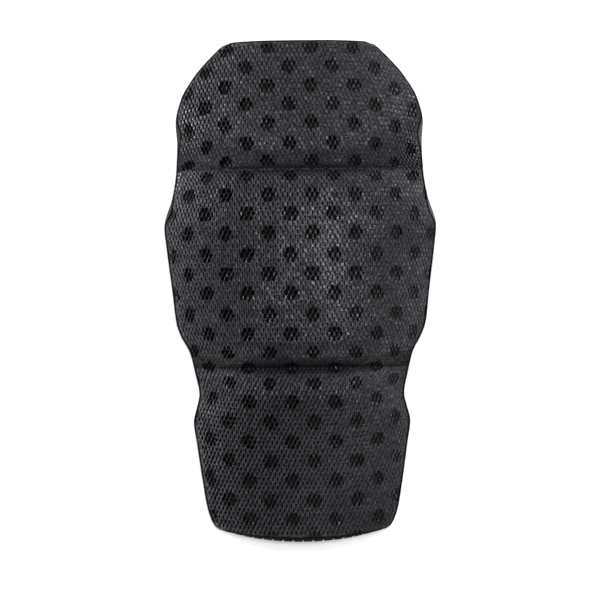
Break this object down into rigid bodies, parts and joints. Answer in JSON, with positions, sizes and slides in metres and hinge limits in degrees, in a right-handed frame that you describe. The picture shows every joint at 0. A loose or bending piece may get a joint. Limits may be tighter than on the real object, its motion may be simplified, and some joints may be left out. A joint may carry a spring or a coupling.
{
  "type": "knee pad insert",
  "caption": "Domed knee pad insert: perforated foam in three puffed panels with V creases, a bonded net front and a thin back skin. It cushions a knee inside a trouser pocket.",
  "frame": {"origin": "middle of the bounding box, on the plane of the side rims that the pad rests on", "axes": "+Z out of the front, +Y to the thigh end, +X to the right as seen from the front"},
  "size_m": [0.163, 0.2988, 0.0321],
  "materials": {
    "foam": "matt moulded foam with a fine pore grain",
    "net": "knitted net of matt grey yarn with small upright openings",
    "skin": "smooth matt foam skin"
  },
  "bodies": {
    "root": {"foam_core": "foam", "mesh_cover": "net", "back_skin": "skin"}
  },
  "joints": []
}
